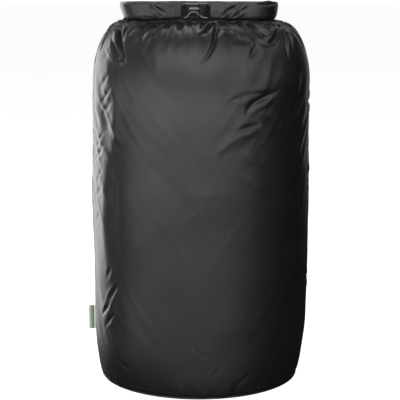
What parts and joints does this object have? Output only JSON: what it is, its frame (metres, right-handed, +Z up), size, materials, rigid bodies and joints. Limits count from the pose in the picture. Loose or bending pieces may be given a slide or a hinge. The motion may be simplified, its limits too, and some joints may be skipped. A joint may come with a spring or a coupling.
{
  "type": "roll-top dry bag",
  "caption": "Large cylindrical roll-top dry bag in coated nylon, stuffed full, its rolled mouth closed into a ring by a side-release buckle; flat round base, woven side label.",
  "frame": {"origin": "on the floor, at the centre of the round base, under the axis of the stuffed body", "axes": "+Z up along the bag, -Y the front with the buckle, +X to the right seen from the front"},
  "size_m": [0.4169, 0.4054, 0.697],
  "materials": {
    "coated_nylon": "black silicone and polyurethane coated ripless nylon taffeta, smooth, soft satin sheen",
    "seam_cloth": "the same cloth, turned and stitched at the seams, slightly darker",
    "seam_tape": "translucent grey heat-applied seam tape",
    "stiff_strip": "black flexible stiffening strip",
    "webbing": "black polyamide webbing, plain weave",
    "thread": "black polyester thread",
    "buckle_plastic": "black acetal, satin moulded",
    "woven_tag": "pale green-grey damask woven tag"
  },
  "bodies": {
    "bag": {"body_fabric": "coated_nylon", "base_panel": "coated_nylon", "base_seam": "seam_cloth", "base_seam_tape": "seam_tape", "side_seam": "seam_cloth", "side_seam_tape": "seam_tape", "neck_fabric": "coated_nylon", "roll_back": "coated_nylon", "roll_bend_left": "coated_nylon", "roll_bend_right": "coated_nylon", "mouth_strip_back": "stiff_strip", "mouth_strip_bend_left": "stiff_strip", "mouth_strip_bend_right": "stiff_strip", "label_stitches": "thread"},
    "left_arm": {"roll_arm_left": "coated_nylon", "mouth_strip_left": "stiff_strip", "webbing_tab_left": "webbing", "bartack_left": "thread"},
    "right_arm": {"roll_arm_right": "coated_nylon", "mouth_strip_right": "stiff_strip", "webbing_tab_right": "webbing", "bartack_right": "thread"},
    "socket": {"buckle_socket": "buckle_plastic"},
    "plug": {"buckle_plug": "buckle_plastic"},
    "prong_upper": {"buckle_prong_upper": "buckle_plastic"},
    "prong_lower": {"buckle_prong_lower": "buckle_plastic"},
    "label": {"woven_label": "woven_tag"}
  },
  "joints": [
    {"name": "closure_swing", "type": "hinge", "parent": "bag", "child": "left_arm", "pos_m": [-0.097, -0.05, 0.681], "axis": [0, 0, -1], "range_deg": [0, 36]},
    {"name": "right_arm_swing", "type": "hinge", "parent": "bag", "child": "right_arm", "pos_m": [0.079, -0.05, 0.681], "axis": [0, 0, 1], "range_deg": [0, 36]},
    {"name": "socket_swivel", "type": "hinge", "parent": "left_arm", "child": "socket", "pos_m": [-0.029, -0.05, 0.681], "axis": [0, 0, 1], "range_deg": [0, 36]},
    {"name": "plug_swivel", "type": "hinge", "parent": "right_arm", "child": "plug", "pos_m": [0.011, -0.05, 0.681], "axis": [0, 0, -1], "range_deg": [0, 36]},
    {"name": "prong_upper_squeeze", "type": "hinge", "parent": "plug", "child": "prong_upper", "pos_m": [-0.0008, -0.05, 0.6907], "axis": [0, -1, 0], "range_deg": [0, 13]},
    {"name": "prong_lower_squeeze", "type": "hinge", "parent": "plug", "child": "prong_lower", "pos_m": [-0.0008, -0.05, 0.6713], "axis": [0, 1, 0], "range_deg": [0, 13]},
    {"name": "label_flap", "type": "hinge", "parent": "bag", "child": "label", "pos_m": [-0.2029, 0, 0.1035], "axis": [0, 0, 1], "range_deg": [-50, 50], "stiffness_Nm_per_rad": 0.0004}
  ],
  "couplings": [
    {"joint": "right_arm_swing", "follows": "closure_swing", "ratio": 1},
    {"joint": "socket_swivel", "follows": "closure_swing", "ratio": 1},
    {"joint": "plug_swivel", "follows": "closure_swing", "ratio": 1},
    {"joint": "prong_upper_squeeze", "follows": "closure_swing", "ratio": 0.36},
    {"joint": "prong_lower_squeeze", "follows": "closure_swing", "ratio": 0.36}
  ]
}
